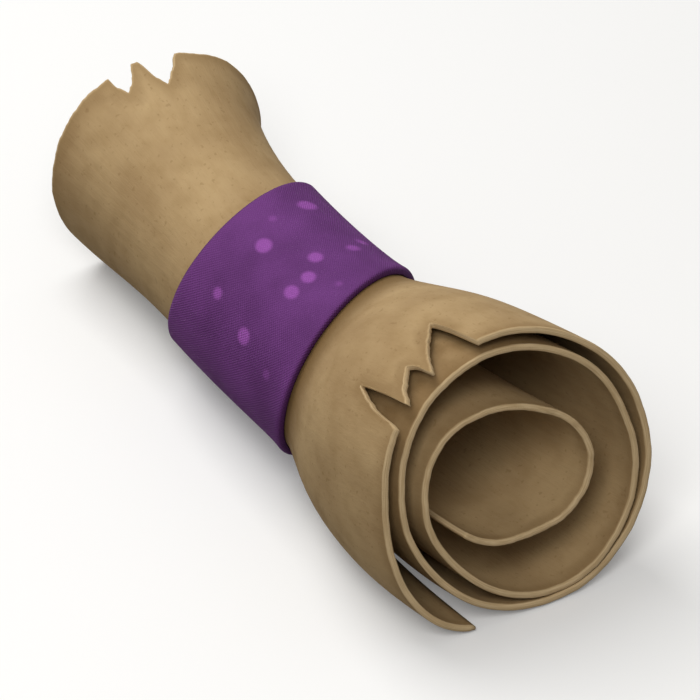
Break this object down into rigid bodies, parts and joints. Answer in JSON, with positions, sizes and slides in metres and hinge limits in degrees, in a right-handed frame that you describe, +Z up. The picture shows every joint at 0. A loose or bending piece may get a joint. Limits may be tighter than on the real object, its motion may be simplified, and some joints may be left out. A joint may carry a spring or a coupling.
{
  "type": "paper scroll",
  "caption": "Rolled sheet of thick tan paper with flared, torn ends, held shut by a wide dotted cloth band round its waist.",
  "frame": {"origin": "on the floor, under the middle of the box that the lying scroll fills", "axes": "+X along the roll towards its wider near end, +Z up"},
  "size_m": [0.173, 0.0724, 0.0709],
  "materials": {
    "paper": "matt, aged, lightly mottled",
    "band_cloth": "woven purple cloth with paler dots"
  },
  "bodies": {
    "root": {"scroll_sheet": "paper", "band": "band_cloth"}
  },
  "joints": []
}
